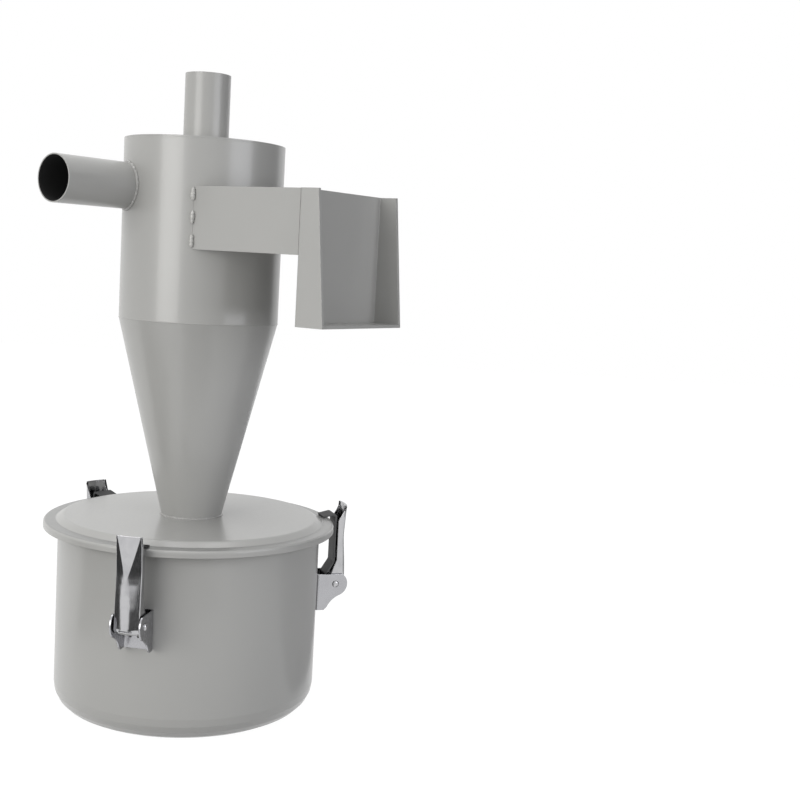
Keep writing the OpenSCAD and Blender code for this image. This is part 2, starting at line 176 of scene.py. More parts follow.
def makePeelGroup():
    tree, start, end = newTree("orangePeel", "ShaderNodeTree",
                               [("Cell size", "Float", 0.0022), ("Seed", "Float", 0.0)],
                               [("Height", "Float"), ("Patch", "Float")])
    place = addNode(tree, "ShaderNodeTexCoord").outputs["Object"]
    perMetre = compute(tree, "DIVIDE", 1.0, start["Cell size"])
    cells = addNode(tree, "ShaderNodeTexVoronoi", ("Vector", place), ("Scale", perMetre),
                    ("Smoothness", peelShape["smoothness"]), feature="SMOOTH_F1").outputs["Distance"]
    waveScale = compute(tree, "MULTIPLY", perMetre, peelShape["waveScale"])
    patchScale = compute(tree, "MULTIPLY", perMetre, peelShape["patchScale"])
    waves = noise(tree, place, waveScale, *peelShape["waves"], start["Seed"])
    patch = noise(tree, place, patchScale, *peelShape["patches"], start["Seed"])
    height = compute(tree, "ADD", compute(tree, "MULTIPLY", cells, peelShape["cellShare"]),
                     compute(tree, "MULTIPLY", waves, peelShape["waveShare"]))
    tree.links.new(height, end["Height"])
    tree.links.new(patch, end["Patch"])
    return tree


# Mask for painted shade inside a pipe: near its axis, within the bore's radius
def makeBoreShadeGroup():
    tree, start, end = newTree("boreShadeMask", "ShaderNodeTree",
                               [("Point", "Vector", None), ("Direction", "Vector", None), ("Radius", "Float", 0.02)],
                               [("Mask", "Float")])
    place = addNode(tree, "ShaderNodeTexCoord").outputs["Object"]
    fromPoint = vectorMath(tree, "SUBTRACT", place, start["Point"])
    across = vectorMath(tree, "CROSS_PRODUCT", fromPoint, start["Direction"])
    away = compute(tree, "SUBTRACT", vectorMath(tree, "LENGTH", across), start["Radius"])
    tree.links.new(mapRange(tree, away, *boreFade, 1.0, 0.0), end["Mask"])
    return tree


# Mask of the lid's rim gutter, where painted shade goes: beyond a radius, on faces that look up
def makeGutterShadeGroup():
    tree, start, end = newTree("rimGutterShade", "ShaderNodeTree", [("Inner", "Float", 0.13), ("Fade", "Float", 0.001)],
                               [("Mask", "Float")])
    place = addNode(tree, "ShaderNodeTexCoord").outputs["Object"]
    across = vectorMath(tree, "LENGTH", vectorMath(tree, "MULTIPLY", place, (1.0, 1.0, 0.0)))
    beyond = mapRange(tree, across, start["Inner"], compute(tree, "ADD", start["Inner"], start["Fade"]), 0.0, 1.0)
    facing = addNode(tree, "ShaderNodeNewGeometry").outputs["Normal"]
    upward = mapRange(tree, vectorMath(tree, "DOT_PRODUCT", facing, (0.0, 0.0, 1.0)), *gutterFacing, 0.0, 1.0)
    tree.links.new(compute(tree, "MULTIPLY", beyond, upward), end["Mask"])
    return tree


def makeStreakGroup():
    tree, start, end = newTree("brushedStreaks", "ShaderNodeTree",
                               [("Along", "Vector", (90.0, 90.0, 6.0)), ("Seed", "Float", 0.0)],
                               [("Streak", "Float"), ("Cloud", "Float")])
    place = addNode(tree, "ShaderNodeTexCoord").outputs["Object"]
    stretched = vectorMath(tree, "MULTIPLY", place, start["Along"])
    streak = noise(tree, stretched, streakShape["streakScale"], *streakShape["streaks"], start["Seed"])
    cloud = noise(tree, place, streakShape["cloudScale"], *streakShape["clouds"], start["Seed"])
    tree.links.new(streak, end["Streak"])
    tree.links.new(cloud, end["Cloud"])
    return tree


edgeGroup, peelGroup, boreShadeGroup = makeEdgeGroup(), makePeelGroup(), makeBoreShadeGroup()
gutterShadeGroup, streakGroup = makeGutterShadeGroup(), makeStreakGroup()


def placeGroup(tree, group, **values):
    node = tree.nodes.new("ShaderNodeGroup")
    node.node_tree = group
    for name, value in values.items():
        feed(tree, node.inputs[name.replace("_", " ")], value)
    return node.outputs


def newMaterial(name):
    material = bpy.data.materials.new(name)
    material.use_nodes = True
    tree = material.node_tree
    return material, tree, tree.nodes["Principled BSDF"]


# Paint: light warm grey enamel, thick enough to show its orange peel
enamel = {"colour": (0.373, 0.372, 0.360), "tones": (0.975, 1.02), "roughness": 0.30, "roughSpread": (-0.02, 0.03),
          "coat": 0.2, "coatRoughness": 0.12, "cell": 0.0023, "peelDepth": 0.000013,
          "edge": 0.0007, "edgeHighlight": (0.45, 0.448, 0.435), "edgeHighlightShare": 0.6,
          "bore": (0.010, 0.010, 0.010), "boreRoughness": 0.85, "gutterShadeColour": (0.235, 0.235, 0.229)}


def makeEnamel(name, spec, bore=None, gutter=None):
    material, tree, shader = newMaterial(name)
    peel = placeGroup(tree, peelGroup, Cell_size=spec["cell"])
    edge = placeGroup(tree, edgeGroup, Radius=spec["edge"])
    tone = mapRange(tree, peel["Patch"], *noiseSpan, *spec["tones"])
    base = vectorMath(tree, "SCALE", spec["colour"], scale=tone)
    # Edges go lighter: a painted highlight along them.
    base = blendColour(tree, compute(tree, "MULTIPLY", edge["Mask"], spec["edgeHighlightShare"]), base, spec["edgeHighlight"])
    smoothest, roughest = (spec["roughness"] + step for step in spec["roughSpread"])
    rough = mapRange(tree, peel["Height"], *peelSpan, smoothest, roughest)
    # The rim gutter goes darker: painted shade.
    if gutter:
        mask = placeGroup(tree, gutterShadeGroup, **gutter)["Mask"]
        base = blendColour(tree, mask, base, spec["gutterShadeColour"])
    # Near black inside the pipe mouths: painted shade.
    if bore:
        mask = placeGroup(tree, boreShadeGroup, **bore)["Mask"]
        base = blendColour(tree, mask, base, spec["bore"])
        rough = blendNumber(tree, mask, rough, spec["boreRoughness"])
    bump = addNode(tree, "ShaderNodeBump", ("Strength", 1.0), ("Distance", spec["peelDepth"]),
                   ("Height", peel["Height"]), ("Normal", edge["Normal"]))
    tree.links.new(base, shader.inputs["Base Color"])
    tree.links.new(rough, shader.inputs["Roughness"])
    tree.links.new(bump.outputs[0], shader.inputs["Normal"])
    shader.inputs["Coat Weight"].default_value = 0.0 if bore else spec["coat"]
    shader.inputs["Coat Roughness"].default_value = spec["coatRoughness"]
    return material


# Plating: bright nickel on pressed steel, with drawing marks along the strip, and very dark steel for the hooks
plating = {"colour": (0.48, 0.48, 0.49), "dull": (0.35, 0.35, 0.365), "roughness": 0.085, "spread": 0.09,
           "edge": 0.0005, "polish": 0.04, "markDepth": 0.00002, "markStrength": 0.6, "clouds": (0.42, 0.75),
           "cloudShare": 0.55, "edgeTint": (1.0, 1.0, 1.0, 1)}
darkSteel = plating | {"colour": (0.085, 0.085, 0.086), "dull": (0.055, 0.055, 0.056), "roughness": 0.30,
                       "spread": 0.12, "edgeTint": (0.6, 0.6, 0.6, 1)}


def makePlating(name, spec, seed):
    material, tree, shader = newMaterial(name)
    marks = placeGroup(tree, streakGroup, Seed=seed)
    edge = placeGroup(tree, edgeGroup, Radius=spec["edge"])
    cloud = mapRange(tree, marks["Cloud"], *spec["clouds"], 0.0, spec["cloudShare"])
    base = blendColour(tree, cloud, spec["colour"] + (1,), spec["dull"])
    rough = mapRange(tree, marks["Streak"], *noiseSpan, spec["roughness"], spec["roughness"] + spec["spread"])
    rough = compute(tree, "SUBTRACT", rough, compute(tree, "MULTIPLY", edge["Mask"], spec["polish"]), clamp=True)
    bump = addNode(tree, "ShaderNodeBump", ("Strength", spec["markStrength"]), ("Distance", spec["markDepth"]),
                   ("Height", marks["Streak"]), ("Normal", edge["Normal"]))
    tree.links.new(base, shader.inputs["Base Color"])
    tree.links.new(rough, shader.inputs["Roughness"])
    tree.links.new(bump.outputs[0], shader.inputs["Normal"])
    shader.inputs["Metallic"].default_value = 1.0
    shader.inputs["Specular Tint"].default_value = spec["edgeTint"]
    return material


# Rubber of the seal
rubber = {"colour": (0.02, 0.02, 0.02), "grey": (0.045, 0.045, 0.045), "roughness": 0.7, "grain": 0.0008,
          "grainDepth": 0.00004, "grainStrength": 0.5, "seed": 3.0}


def makeRubber(name, spec):
    material, tree, shader = newMaterial(name)
    peel = placeGroup(tree, peelGroup, Cell_size=spec["grain"], Seed=spec["seed"])
    base = blendColour(tree, peel["Patch"], spec["colour"] + (1,), spec["grey"])
    bump = addNode(tree, "ShaderNodeBump", ("Strength", spec["grainStrength"]), ("Distance", spec["grainDepth"]),
                   ("Height", peel["Height"]))
    tree.links.new(base, shader.inputs["Base Color"])
    tree.links.new(bump.outputs[0], shader.inputs["Normal"])
    shader.inputs["Roughness"].default_value = spec["roughness"]
    return material


def radiusOf(nodeName):
    low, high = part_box(nodeName)
    return (high.y - low.y) / 2


def boreOf(mountName):
    mount = mounts[mountName]
    return {"Point": mount["pos_m"], "Direction": mount["axis"], "Radius": mount["dims"]["r_mm"] / 1000}


# Every finish by name; the other paints and platings are told by how they differ
weldPaint = enamel | {"colour": (0.355, 0.354, 0.342), "edgeHighlight": (0.385, 0.383, 0.37), "cell": 0.0035}
# Stitch welds are lighter than the sheet: painted light where they face the left lamp.
litStitchPaint = weldPaint | {"colour": (0.47, 0.468, 0.45), "edgeHighlight": (0.6, 0.598, 0.58), "roughness": 0.24}
# Near black bead colour: painted shadow in the gap at the arm's end.
gapShadowPaint = enamel | {"colour": (0.05, 0.05, 0.048), "edgeHighlight": (0.06, 0.06, 0.058), "roughness": 0.6, "coat": 0.0}
basePlate = plating | {"colour": (0.42, 0.42, 0.435), "dull": (0.36, 0.36, 0.375), "roughness": 0.20}
gutterWidth = 0.0130
finishes = {
    "sheetEnamel": makeEnamel("sheetEnamel", enamel),
    "inletEnamel": makeEnamel("inletEnamel", enamel, boreOf("inlet_bore")),
    "outletEnamel": makeEnamel("outletEnamel", enamel, boreOf("outlet_bore")),
    "rimEnamel": makeEnamel("rimEnamel", enamel, gutter={"Inner": radiusOf("lid_rim") - gutterWidth}),
    "weldEnamel": makeEnamel("weldEnamel", weldPaint),
    "litStitchEnamel": makeEnamel("litStitchEnamel", litStitchPaint),
    "gapShade": makeEnamel("gapShade", gapShadowPaint),
    "leverPlating": makePlating("leverPlating", plating, 1.0),
    "hookPlating": makePlating("hookPlating", darkSteel, 2.0),
    "basePlating": makePlating("basePlating", basePlate, 3.0),
    "rivetPlating": makePlating("rivetPlating", plating | {"roughness": 0.14}, 4.0),
    "sealRubber": makeRubber("sealRubber", rubber),
}
ownFinish = {"seal": "sealRubber", "lid": "rimEnamel", "lid_rim": "rimEnamel", "inlet_pipe": "inletEnamel",
             "outlet_pipe": "outletEnamel"}
latchFinish = {"lever": "leverPlating", "hook": "hookPlating", "base": "basePlating"}


def finishOf(nodeName):
    if nodeName in ownFinish:
        return ownFinish[nodeName]
    if nodeName.startswith("latch_"):
        return latchFinish.get(nodeName.split("_", 2)[2], "rivetPlating")
    return "weldEnamel" if nodeName.endswith(("bead", "stitches")) else "sheetEnamel"


for nodeName, item in nodes.items():
    item.data.materials.clear()
    item.data.materials.append(finishes[finishOf(nodeName)])
    for face in item.data.polygons:
        face.material_index = 0
print("finishes assigned")


# Geometry Nodes: grow a piece along a path or on points, as one plain mesh
def grow(name, source, tree, values):
    modifier = source.modifiers.new("grow", "NODES")
    modifier.node_group = tree
    for item in tree.interface.items_tree:
        if item.item_type == "SOCKET" and item.in_out == "INPUT" and item.name in values:
            modifier[item.identifier] = values[item.name]
    return addObject(name, freeze(name, source))


def drawPaths(paths, closed):
    data = bpy.data.curves.new("path", "CURVE")
    data.dimensions = "3D"
    for path in paths:
        spline = data.splines.new("POLY")
        spline.points.add(len(path) - 1)
        for point, place in zip(spline.points, path):
            point.co = (*place, 1)
        spline.use_cyclic_u = closed
    return addObject("path", data)


# Welds: beads that ripple along their path, swell and wander a little, and thin out at open ends.
# The last two values are (detail, roughness) of their noise.
beadShape = {"stepsPerRipple": 7.0, "wander": 0.45, "drift": 1.6, "swell": 2.0, "bow": 2.5, "tip": 1.02,
             "lumps": 0.9, "ring": 14, "wanders": (1.0, 0.5), "lumpy": (2.0, 0.5)}


def makeWeldTree(shape):
    tree, start, end = newTree("weldBead", "GeometryNodeTree", [
        ("Geometry", "Geometry", None), ("Bead radius", "Float", 0.002), ("Ripple pitch", "Float", 0.003),
        ("Ripple depth", "Float", 0.3), ("Unevenness", "Float", 0.2), ("End taper", "Float", 0.0),
        ("Seed", "Float", 0.0), ("Paint", "Material", None)], [("Geometry", "Geometry")])
    step = compute(tree, "DIVIDE", start["Ripple pitch"], shape["stepsPerRipple"])
    path = addNode(tree, "GeometryNodeResampleCurve", ("Curve", start["Geometry"]), ("Length", step), mode="LENGTH")
    along = addNode(tree, "GeometryNodeSplineParameter").outputs
    place = addNode(tree, "GeometryNodeInputPosition").outputs[0]
    perRipple = compute(tree, "DIVIDE", shape["wander"], start["Ripple pitch"])
    wander = noise(tree, place, perRipple, *shape["wanders"], start["Seed"])
    phase = compute(tree, "ADD", compute(tree, "DIVIDE", along["Length"], start["Ripple pitch"]),
                    compute(tree, "MULTIPLY", wander, shape["drift"]))
    crest = compute(tree, "ABSOLUTE", compute(tree, "SINE", compute(tree, "MULTIPLY", phase, math.pi)))
    hollow = compute(tree, "MULTIPLY", start["Ripple depth"], compute(tree, "SUBTRACT", 1.0, crest))
    swell = compute(tree, "MULTIPLY", start["Unevenness"], compute(tree, "SUBTRACT", wander, 0.5))
    width = compute(tree, "ADD", compute(tree, "SUBTRACT", 1.0, hollow),
                    compute(tree, "MULTIPLY", swell, shape["swell"]))
    middle = compute(tree, "SUBTRACT", compute(tree, "MULTIPLY", along["Factor"], 2.0), 1.0)
    nearEnd = compute(tree, "POWER", compute(tree, "ABSOLUTE", middle), shape["bow"])
    bow = compute(tree, "SQRT", compute(tree, "SUBTRACT", shape["tip"], nearEnd))
    taper = blendNumber(tree, start["End taper"], 1.0, bow)
    radius = compute(tree, "MULTIPLY", compute(tree, "MULTIPLY", width, taper), start["Bead radius"])
    ring = addNode(tree, "GeometryNodeCurvePrimitiveCircle", ("Resolution", shape["ring"]), ("Radius", 1.0))
    tube = addNode(tree, "GeometryNodeCurveToMesh", ("Curve", path.outputs[0]), ("Profile Curve", ring.outputs[0]),
                   ("Scale", radius), ("Fill Caps", True))
    lumpScale = compute(tree, "DIVIDE", shape["lumps"], start["Bead radius"])
    lumps = noise(tree, place, lumpScale, *shape["lumpy"], start["Seed"])
    push = compute(tree, "MULTIPLY", compute(tree, "SUBTRACT", lumps, 0.5),
                   compute(tree, "MULTIPLY", start["Bead radius"], start["Unevenness"]))
    outward = addNode(tree, "GeometryNodeInputNormal").outputs[0]
    uneven = addNode(tree, "GeometryNodeSetPosition", ("Geometry", tube.outputs[0]),
                     ("Offset", vectorMath(tree, "SCALE", outward, scale=push)))
    smooth = addNode(tree, "GeometryNodeSetShadeSmooth", ("Geometry", uneven.outputs[0]))
    real = addNode(tree, "GeometryNodeRealizeInstances", ("Geometry", smooth.outputs[0]))
    painted = addNode(tree, "GeometryNodeSetMaterial", ("Geometry", real.outputs[0]), ("Material", start["Paint"]))
    tree.links.new(painted.outputs[0], end["Geometry"])
    return tree


def ringPath(radius, height, count=180):
    return [(radius * math.cos(2 * math.pi * i / count), radius * math.sin(2 * math.pi * i / count), height)
            for i in range(count)]


# The line where the inlet pipe meets the barrel, as a closed path a little outside the barrel
def saddlePath(stand, outside, count=240):
    mount = mounts["inlet_bore"]
    axis, spot = Vector(mount["axis"]), Vector(mount["pos_m"])
    side = Vector((-axis.y, axis.x, 0))
    offset, pipe, wall = spot.dot(side), radiusOf("outlet_pipe"), radiusOf("barrel") + stand
    path = []
    for i in range(count):
        turn = 2 * math.pi * i / count
        across = offset + (pipe + outside) * math.cos(turn)
        rise = (pipe + outside) * math.sin(turn)
        out = math.sqrt(max(wall * wall - across * across, 0))
        path.append(axis * out + side * across + Vector((0, 0, spot.z + rise)))
    return path


# Upright lines for stitch welds inside a node's box, from its top downward
def stitchPaths(nodeName, length, count, trim=0.0015, steps=12):
    low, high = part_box(nodeName)
    middle = (low + high) / 2
    pitch = (high.z - low.z - length) / (count - 1)
    paths = []
    for i in range(count):
        top = high.z - pitch * i - trim
        paths.append([(middle.x, middle.y, top - (length - 2 * trim) * k / steps) for k in range(steps + 1)])
    return paths


# Every weld: the node that it replaces, its bead, and how far it lies from the radius or face that it follows
welds = {
    "footWeld": {"node": "foot_bead", "radius": 0.0011, "pitch": 0.0040, "depth": 0.25, "uneven": 0.25, "seed": 1.0,
                 "inward": 0.0018, "lift": 0.0004},
    "girthWeld": {"node": "girth_bead", "radius": 0.0009, "pitch": 0.0035, "depth": 0.10, "uneven": 0.12, "seed": 2.0,
                  "inward": 0.0006},
    "outletWeld": {"node": "outlet_bead", "radius": 0.0013, "pitch": 0.0036, "depth": 0.25, "uneven": 0.25,
                   "seed": 3.0, "outward": 0.0004, "lift": 0.0004},
    "inletWeld": {"node": "inlet_bead", "radius": 0.0018, "pitch": 0.0048, "depth": 0.35, "uneven": 0.6, "seed": 4.0,
                  "stand": 0.0006, "outside": 0.00024},
    "armWelds": {"node": "arm_stitches", "radius": 0.0024, "pitch": 0.0034, "depth": 0.22, "uneven": 0.7, "seed": 8.0,
                 "paint": "litStitchEnamel", "count": 3},
    "channelWelds": {"node": "channel_stitches", "radius": 0.0018, "pitch": 0.0040, "depth": 0.3, "uneven": 0.4,
                     "seed": 6.0, "count": 2},
    # A near-black bead standing for the shadow in the gap at the arm's end: painted shadow.
    "armGapShadow": {"node": None, "radius": 0.0008, "pitch": 0.0050, "depth": 0.05, "uneven": 0.1, "seed": 7.0,
                "taper": 0.0, "paint": "gapShade", "stand": 0.0004},
}
lidTop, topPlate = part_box("lid")[1].z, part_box("top_plate")[1].z
stitchLength = 0.0155
hanger = {"yaw": math.radians(-32.5), "armThick": 0.003}


# A near-black bead as painted shadow in the gap where the arm's front face meets the bend of the channel
def gapShadowPath(spec, stand, steps=30):
    low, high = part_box("hanger_arm")
    front = Vector((math.sin(spec["yaw"]), -math.cos(spec["yaw"]), 0))
    end = Vector((high.x + spec["armThick"] * front.x, low.y, 0)) + front * stand
    return [(end.x, end.y, low.z + (high.z - low.z) * k / steps) for k in range(steps + 1)]


weldPaths = {
    "footWeld": ([ringPath(radiusOf("foot_bead") - welds["footWeld"]["inward"],
                           lidTop + welds["footWeld"]["lift"])], True),
    "girthWeld": ([ringPath(radiusOf("barrel") - welds["girthWeld"]["inward"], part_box("barrel")[0].z)], True),
    "outletWeld": ([ringPath(radiusOf("outlet_pipe") + welds["outletWeld"]["outward"],
                             topPlate + welds["outletWeld"]["lift"])], True),
    "inletWeld": ([saddlePath(welds["inletWeld"]["stand"], welds["inletWeld"]["outside"])], True),
    "armWelds": (stitchPaths("arm_stitches", stitchLength, welds["armWelds"]["count"]), False),
    "channelWelds": (stitchPaths("channel_stitches", stitchLength, welds["channelWelds"]["count"]), False),
    "armGapShadow": ([gapShadowPath(hanger, welds["armGapShadow"]["stand"])], False),
}
weldTree = makeWeldTree(beadShape)
for name, (paths, closed) in weldPaths.items():
    spec = welds[name]
    bead = grow(name, drawPaths(paths, closed), weldTree, {
        "Bead radius": spec["radius"], "Ripple pitch": spec["pitch"], "Ripple depth": spec["depth"],
        "Unevenness": spec["uneven"], "Seed": spec["seed"], "End taper": 0.0 if closed else spec.get("taper", 1.0),
        "Paint": finishes[spec.get("paint", "weldEnamel")]})
    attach(bead, "separator")
    if spec["node"]:
        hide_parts(spec["node"])
print("welds laid:", len(weldPaths))


# Rivets through the latch ears, with low domed heads
rivets = {"shaft": 0.0025, "width": 0.030, "head": 0.0037, "height": 0.0019, "dimple": 0.22, "dimpleWidth": 0.45,
          "underside": -0.12, "segments": 28, "rings": 18}


def makeRivetTree(spec):
    tree, start, end = newTree("leverRivet", "GeometryNodeTree", [
        ("Geometry", "Geometry", None), ("Shaft radius", "Float", 0.0025), ("Shaft length", "Float", 0.03),
        ("Head radius", "Float", 0.004), ("Head height", "Float", 0.002), ("Dimple", "Float", 0.2),
        ("Plating", "Material", None)], [("Geometry", "Geometry")])
    ball = addNode(tree, "GeometryNodeMeshUVSphere", ("Segments", spec["segments"]), ("Rings", spec["rings"]),
                   ("Radius", 1.0))
    place = addNode(tree, "GeometryNodeInputPosition").outputs[0]
    parts = addNode(tree, "ShaderNodeSeparateXYZ", (0, place)).outputs
    across = compute(tree, "SQRT", compute(tree, "ADD", compute(tree, "MULTIPLY", parts[0], parts[0]),
                                           compute(tree, "MULTIPLY", parts[1], parts[1])))
    rise = compute(tree, "MAXIMUM", parts[2], spec["underside"])
    hollow = mapRange(tree, across, 0.0, spec["dimpleWidth"], 1.0, 0.0)
    dent = compute(tree, "MULTIPLY", start["Dimple"], hollow)
    rise = compute(tree, "MULTIPLY", compute(tree, "SUBTRACT", rise, dent), start["Head height"])
    shaped = addNode(tree, "ShaderNodeCombineXYZ", (0, compute(tree, "MULTIPLY", parts[0], start["Head radius"])),
                     (1, compute(tree, "MULTIPLY", parts[1], start["Head radius"])), (2, rise))
    head = addNode(tree, "GeometryNodeSetPosition", ("Geometry", ball.outputs["Mesh"]),
                   ("Position", shaped.outputs[0]))
    half = compute(tree, "MULTIPLY", start["Shaft length"], 0.5)
    near = addNode(tree, "GeometryNodeTransform", ("Geometry", head.outputs[0]),
                   ("Translation", addNode(tree, "ShaderNodeCombineXYZ", (2, half)).outputs[0]))
    far = addNode(tree, "GeometryNodeTransform", ("Geometry", near.outputs[0]), ("Rotation", (math.pi, 0, 0)))
    shaft = addNode(tree, "GeometryNodeMeshCylinder", ("Vertices", spec["segments"]),
                    ("Radius", start["Shaft radius"]), ("Depth", start["Shaft length"]))
    whole = tree.nodes.new("GeometryNodeJoinGeometry")
    for source in (shaft.outputs["Mesh"], near.outputs[0], far.outputs[0]):
        tree.links.new(source, whole.inputs[0])
    along = addNode(tree, "GeometryNodeInputNamedAttribute", ("Name", "along"), data_type="FLOAT_VECTOR")
    turn = addNode(tree, "FunctionNodeAlignRotationToVector", ("Vector", along.outputs[0]), axis="Z")
    spread = addNode(tree, "GeometryNodeInstanceOnPoints", ("Points", start["Geometry"]),
                     ("Instance", whole.outputs[0]), ("Rotation", turn.outputs[0]))
    real = addNode(tree, "GeometryNodeRealizeInstances", ("Geometry", spread.outputs[0]))
    smooth = addNode(tree, "GeometryNodeSetShadeSmooth", ("Geometry", real.outputs[0]))
    plated = addNode(tree, "GeometryNodeSetMaterial", ("Geometry", smooth.outputs[0]), ("Material", start["Plating"]))
    tree.links.new(plated.outputs[0], end["Geometry"])
    return tree


# A point in the middle of each pin, with the direction that the pin runs in
def rivetPoints(nodeNames):
    centres = [sum(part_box(name), Vector()) / 2 for name in nodeNames]
    mesh = bpy.data.meshes.new("rivetPoints")
    mesh.from_pydata([tuple(centre) for centre in centres], [], [])
    along = mesh.attributes.new("along", "FLOAT_VECTOR", "POINT")
    for i, centre in enumerate(centres):
        outward = Vector((centre.x, centre.y, 0)).normalized()
        along.data[i].vector = (-outward.y, outward.x, 0)
    return addObject("rivetPoints", mesh)


pinNodes = ["latch_%s_pin" % letter for letter in "abc"]
leverRivets = grow("leverRivets", rivetPoints(pinNodes), makeRivetTree(rivets), {
    "Shaft radius": rivets["shaft"], "Shaft length": rivets["width"], "Head radius": rivets["head"],
    "Head height": rivets["height"], "Dimple": rivets["dimple"], "Plating": finishes["rivetPlating"]})
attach(leverRivets, "separator")
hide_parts(*pinNodes)
print("rivets set")


# Levers: pressed from sheet, with a crowned face and a flat V that is pressed in from the corners of the far end.
# Side views are (outward, upward) from the pivot. The slot is its lower and upper end and its share of the width.
# An arc is its first angle and its step, in degrees, and the number of its points.
lever = {"thick": 0.0012, "width": 0.0250, "corner": 0.0012, "cornerSteps": 4, "crown": 0.0034, "bend": (1.3, 2.2),
         "lean": -0.2, "leanRise": 0.03, "bottom": -0.0065, "top": 0.0850, "vee": 0.0450, "veeWidth": (0.03, 0.985),
         "bendRate": 2.0, "ridge": 0.0009, "slot": (-0.0040, -0.0022, 0.55), "stations": 64, "sides": 7, "middle": 6,
         "lap": 0.0048,
         "front": [(0.0085, -0.0065), (0.0125, -0.0030), (0.0098, 0.0510), (0.0124, 0.0850)],
         "frontBends": [0.0025, 0.090],
         "back": [(0.0093, 0.0825), (0.0009, 0.0680), (0.0009, 0.0255), (-0.0041, 0.0117), (-0.0084, 0.0035)],
         "hookPin": (-0.011, 0.0), "hookEar": 0.0044, "hookArc": (75, 15, 14),
         "pivotEar": 0.00845, "pivotArc": (-110, 8, 11), "foldAngle": 0.6, "mergeWithin": 1e-6}


def filletPath(corners, radii, steps=10):
    points = [Vector(corners[0])]
    for before, corner, after, radius in zip(corners, corners[1:], corners[2:], radii):
        before, corner, after = Vector(before), Vector(corner), Vector(after)
        back, ahead = (before - corner).normalized(), (after - corner).normalized()
        half = math.acos(max(-1.0, min(1.0, back.dot(ahead)))) / 2
        start, end = corner + back * radius / math.tan(half), corner + ahead * radius / math.tan(half)
        centre = corner + (back + ahead).normalized() * radius / math.sin(half)
        for i in range(steps + 1):
            spoke = (start - centre).lerp(end - centre, i / steps)
            points.append(centre + spoke.normalized() * radius)
    points.append(Vector(corners[-1]))
    return points


# Points evenly along a path, each with the direction that the sheet faces there
def walkPath(points, count):
    lengths = [0.0]
    for a, b in zip(points, points[1:]):
        lengths.append(lengths[-1] + (b - a).length)
    stops, k = [], 0
    for i in range(count):
        goal = lengths[-1] * i / (count - 1)
        while k < len(points) - 2 and lengths[k + 1] < goal:
            k += 1
        a, b = points[k], points[k + 1]
        share = (goal - lengths[k]) / max(lengths[k + 1] - lengths[k], 1e-9)
        along = (b - a).normalized()
        stops.append((a.lerp(b, share), Vector((along.y, -along.x))))
    return stops


# Places across the face, from -1 to 1: even steps on each side of the V and inside it
def acrossSteps(vee, spec):
    outer = [-1 + (1 - vee) * i / spec["sides"] for i in range(spec["sides"])]
    inner = [-vee + 2 * vee * i / spec["middle"] for i in range(spec["middle"] + 1)]
    return outer + inner + [-step for step in reversed(outer)]


# Rows of points across the front and round its corners, one row per station up the lever
def leverFace(spec, path):
    half, corner = spec["width"] / 2, spec["corner"]
    rows, heights = [], []
    for place, facing in walkPath(path, spec["stations"]):
        rise = (place.y - (spec["top"] - spec["vee"])) / spec["vee"]
        vee = min(spec["veeWidth"][1], max(spec["veeWidth"][0], rise))
        bend = spec["bend"][0] + (spec["bend"][1] - spec["bend"][0]) * min(1.0, max(0.0, -rise * spec["bendRate"]))
        out = place + facing * spec["thick"] / 2
        lean = spec["lean"] * (1 - vee) * min(1.0, max(0.0, (out.y - spec["bottom"]) / spec["leanRise"]))
        row = []
        for step in acrossSteps(vee, spec):
            ridge = spec["ridge"] * (vee - min(abs(step), vee))
            row.append((out.x - spec["crown"] * max(abs(step), vee) ** bend + ridge,
                        (step + lean * (1 - abs(step))) * (half - corner), out.y))
        edge = out.x - spec["crown"] - corner
        for side in (-1, 1):
            turned = []
            for k in range(1, spec["cornerSteps"] + 1):
                angle = math.pi / 2 * k / spec["cornerSteps"]
                aside = half - corner + corner * math.sin(angle)
                turned.append((edge + corner * math.cos(angle), side * aside, out.y))
            turned.append((place.x - spec["lap"], side * half, out.y))
            row = turned[::-1] + row if side < 0 else row + turned
        rows.append(row)
        heights.append(place.y)
    return rows, heights


def arcPoints(centre, radius, arc):
    first, step, count = arc
    turns = [math.radians(first + step * i) for i in range(count)]
    return [(centre[0] + radius * math.cos(turn), centre[1] + radius * math.sin(turn)) for turn in turns]


# Side view of a cheek: up the front, behind its rounded corner, then down the back and round both ears
def cheekOutline(spec, path):
    front = [Vector((place.x - spec["lap"], (place + facing * spec["thick"] / 2).y))
             for place, facing in walkPath(path, spec["stations"])]
    around = arcPoints(spec["hookPin"], spec["hookEar"], spec["hookArc"])
    under = arcPoints((0.0, 0.0), spec["pivotEar"], spec["pivotArc"])
    return front + [Vector(point) for point in spec["back"] + around + under]


# Gives an open sheet its thickness inward, and keeps its folds crisp
def settle(name, build, spec):
    mesh = bpy.data.meshes.new("sheet")
    build.to_mesh(mesh)
    build.free()
    source = addObject("sheet", mesh)
    solid = source.modifiers.new("thickness", "SOLIDIFY")
    solid.thickness, solid.offset = spec["thick"], -1.0
    mesh = freeze(name, source)
    shape = bmesh.new()
    shape.from_mesh(mesh)
    for face in shape.faces:
        face.smooth = True
    for edge in shape.edges:
        if edge.calc_face_angle(0.0) > spec["foldAngle"]:
            edge.smooth = False
    shape.to_mesh(mesh)
    shape.free()
    mesh.materials.clear()
    mesh.materials.append(finishes["leverPlating"])
    return addObject(name, mesh)


